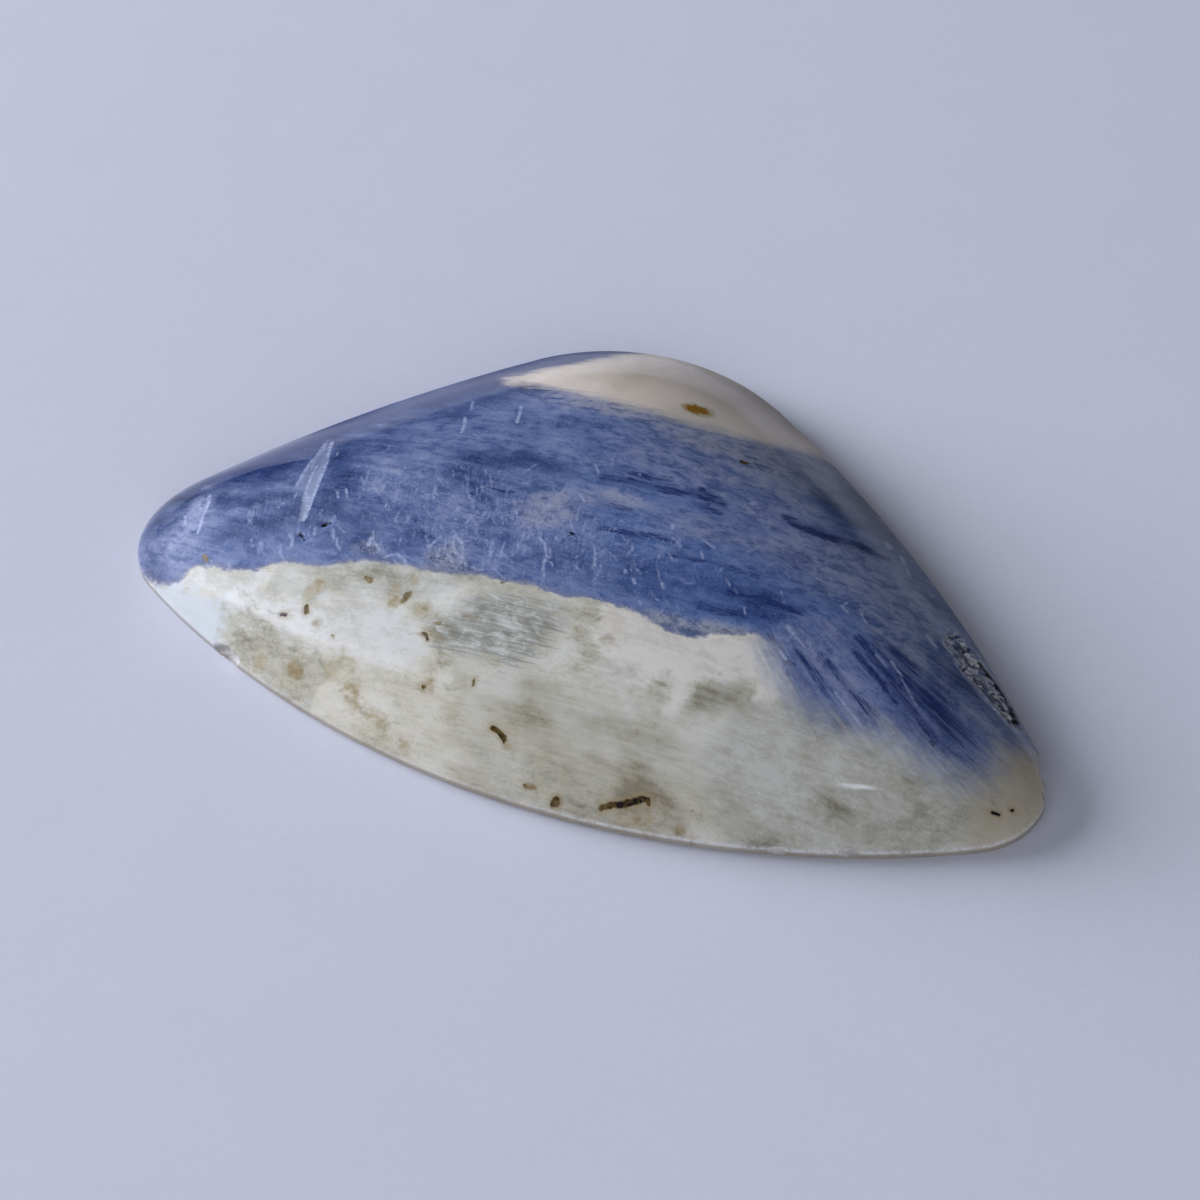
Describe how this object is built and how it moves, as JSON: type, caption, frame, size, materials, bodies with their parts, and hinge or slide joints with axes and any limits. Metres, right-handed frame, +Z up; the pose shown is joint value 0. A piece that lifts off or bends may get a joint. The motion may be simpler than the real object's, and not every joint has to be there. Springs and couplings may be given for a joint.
{
  "type": "kyanite cabochon",
  "caption": "Polished domed freeform cabochon of blue bladed kyanite in cream feldspar matrix, rounded-triangle outline, flat back to rest or set on.",
  "frame": {"origin": "centre of the outline's box on the flat back, so the stone rests on z = 0", "axes": "+X along the outline's long side, from the left tip to the right tip; +Y towards the back shoulder; +Z up through the dome"},
  "size_m": [0.0424, 0.0276, 0.0063],
  "materials": {
    "stone": "polished blue kyanite blades in cream and grey feldspar matrix, with brown inclusions"
  },
  "bodies": {
    "root": {"stone": "stone"}
  },
  "joints": []
}
